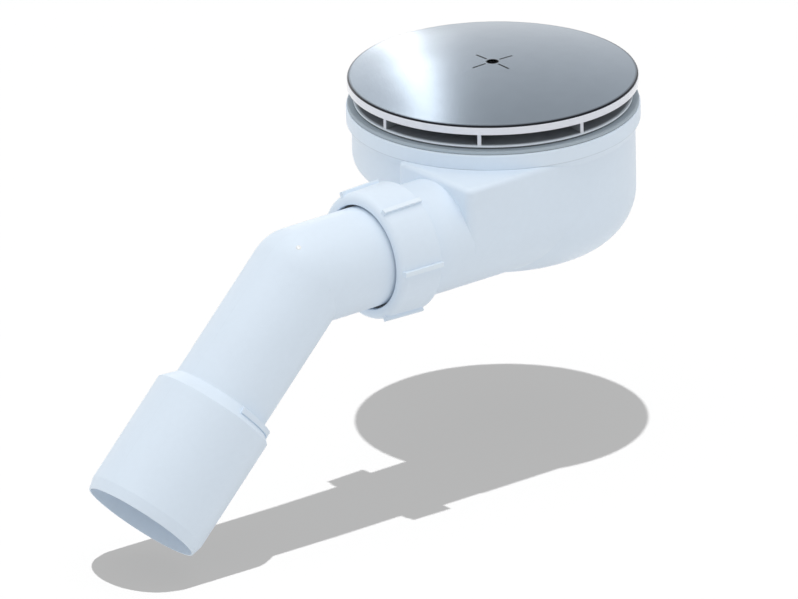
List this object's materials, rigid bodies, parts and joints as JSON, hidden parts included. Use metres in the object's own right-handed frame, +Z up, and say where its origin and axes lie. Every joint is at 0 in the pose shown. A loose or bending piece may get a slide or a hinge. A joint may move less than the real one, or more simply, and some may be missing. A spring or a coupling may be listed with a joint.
{
  "type": "shower trap",
  "caption": "Low white shower trap for a 90 mm tray hole, with a domed chrome cover plate and a 40 mm outlet bend that ends in a 50 mm plug",
  "frame": {"origin": "on the bowl's axis, in the plane where the shower tray's underside meets the tray seal", "axes": "+Z up along the bowl's axis towards the cover plate, -X along the outlet, so that the outlet lies to -Y of the axis"},
  "size_m": [0.281, 0.118, 0.1455],
  "materials": {
    "white_plastic": "smooth moulded polypropylene with a soft sheen",
    "cover_chrome": "bright chrome on a pressed disc",
    "grey_rubber": "matt grey sealing rubber",
    "black_rubber": "matt black sealing rubber",
    "screw_steel": "plain stainless steel",
    "insert_brass": "turned brass",
    "washer_plastic": "plain moulded washer"
  },
  "bodies": {
    "root": {"cover_plate": "cover_chrome", "cover_carrier": "white_plastic", "clamping_flange": "white_plastic", "flange_gasket": "black_rubber", "flange_screws": "screw_steel", "screw_inserts": "insert_brass", "tray_seal": "grey_rubber", "trap_body": "white_plastic", "dip_tube": "white_plastic", "tube_ring": "black_rubber", "outlet_seal": "black_rubber", "slip_washer": "washer_plastic", "union_nut": "white_plastic", "outlet_bend": "white_plastic"}
  },
  "joints": []
}
